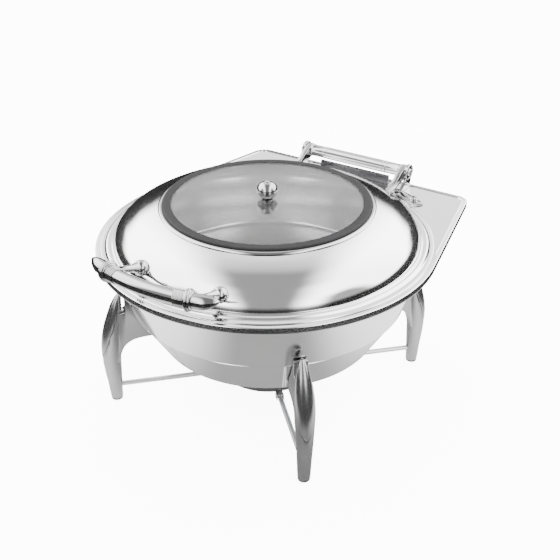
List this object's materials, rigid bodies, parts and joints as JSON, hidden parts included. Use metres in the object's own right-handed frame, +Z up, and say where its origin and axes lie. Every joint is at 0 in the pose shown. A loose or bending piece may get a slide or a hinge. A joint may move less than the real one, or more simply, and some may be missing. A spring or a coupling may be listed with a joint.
{
  "type": "roll top chafer",
  "caption": "Round buffet chafing dish: hinged lid with a glass window over a food pan and water pan, on a legged stand with a fuel burner cup.",
  "frame": {"origin": "on the surface the feet stand on, under the middle of the object's box, which is 2 mm or less from the pans' axis", "axes": "+Z up, +Y from the handle towards the hinge, +X to the right of a person facing the handle"},
  "size_m": [0.452, 0.5136, 0.3122],
  "materials": {
    "polished_steel": "mirror polished stainless steel sheet",
    "cast_steel": "polished casting",
    "satin_steel": "satin stainless steel",
    "black_rubber": "matt black rubber",
    "clear_glass": "clear tempered glass",
    "dark_steel": "dark heat-stained steel",
    "damper_plastic": "black nylon",
    "fuel_gel": "pale blue gel"
  },
  "bodies": {
    "stand": {"leg_front_left": "cast_steel", "leg_front_right": "cast_steel", "leg_rear_left": "cast_steel", "leg_rear_right": "cast_steel", "foot_caps": "black_rubber", "seat_pads": "black_rubber", "cross_rod_a": "satin_steel", "cross_rod_b": "satin_steel", "rod_plate": "satin_steel", "rod_screw": "satin_steel"},
    "burner": {"burner_cup": "dark_steel", "burner_clips": "satin_steel", "fuel_can": "satin_steel", "fuel_gel": "fuel_gel"},
    "chafer_base": {"water_pan": "polished_steel", "deck": "polished_steel", "food_pan": "satin_steel", "hinge_bracket_left": "cast_steel", "hinge_bracket_right": "cast_steel", "hinge_bolts": "cast_steel", "hinge_nuts": "satin_steel", "hinge_bridge": "dark_steel", "hinge_pin": "satin_steel", "hinge_end_screws": "satin_steel"},
    "lid": {"lid_shell": "polished_steel", "window_ring": "polished_steel", "window_gasket": "black_rubber", "window_glass": "clear_glass", "lid_knob": "cast_steel", "knob_washers": "black_rubber", "knob_screw": "satin_steel", "hinge_arm_left": "cast_steel", "hinge_arm_right": "cast_steel", "arm_screws": "satin_steel", "barrel_tube": "polished_steel", "barrel_collars": "polished_steel", "hinge_dampers": "damper_plastic", "handle_grip": "cast_steel", "grip_wrap_left": "cast_steel", "grip_wrap_right": "cast_steel", "handle_arm_left": "cast_steel", "handle_arm_right": "cast_steel", "handle_bosses": "cast_steel", "handle_screws": "satin_steel"}
  },
  "joints": [
    {"name": "lid_hinge", "type": "hinge", "parent": "chafer_base", "child": "lid", "pos_m": [0, 0.2432, 0.257], "axis": [-1, 0, 0], "range_deg": [0, 90]},
    {"name": "pan_lift", "type": "slide", "parent": "stand", "child": "chafer_base", "axis": [0, 0, 1], "range_m": [0, 0.15]},
    {"name": "burner_lift", "type": "slide", "parent": "stand", "child": "burner", "axis": [0, 0, 1], "range_m": [0, 0.018]}
  ]
}
